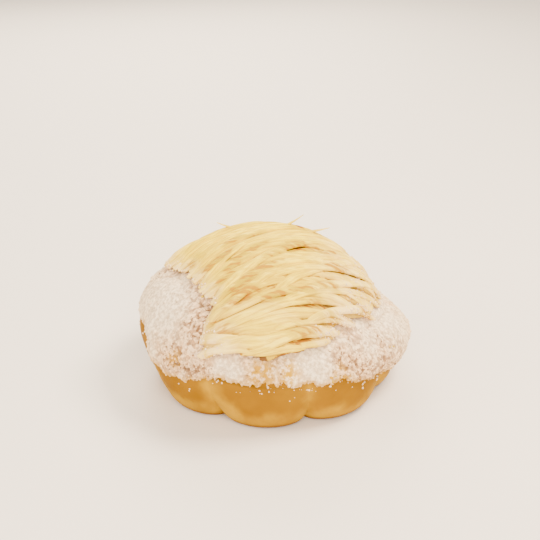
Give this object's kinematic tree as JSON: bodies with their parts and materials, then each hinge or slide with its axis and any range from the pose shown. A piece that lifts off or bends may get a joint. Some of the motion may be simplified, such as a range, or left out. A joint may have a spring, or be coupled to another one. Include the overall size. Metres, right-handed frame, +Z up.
{
  "type": "ensaimada",
  "caption": "Coiled sweet bun from a fluted tin, domed, coated with buttercream and sugar, and heaped with grated cheese shreds.",
  "frame": {"origin": "middle of the bun's flat foot, on the surface that it stands on", "axes": "+Z up, the shown front faces -Y, and the overhanging side of the dome is at +X"},
  "size_m": [0.1106, 0.1076, 0.0653],
  "materials": {
    "crust": "smooth golden brown crust with a faint sheen",
    "sugar": "matt white to beige, grainy",
    "cheese": "satin pale yellow, slightly translucent"
  },
  "bodies": {
    "root": {"bun": "crust", "sugar_coat": "sugar", "cheese_shreds": "cheese"}
  },
  "joints": []
}
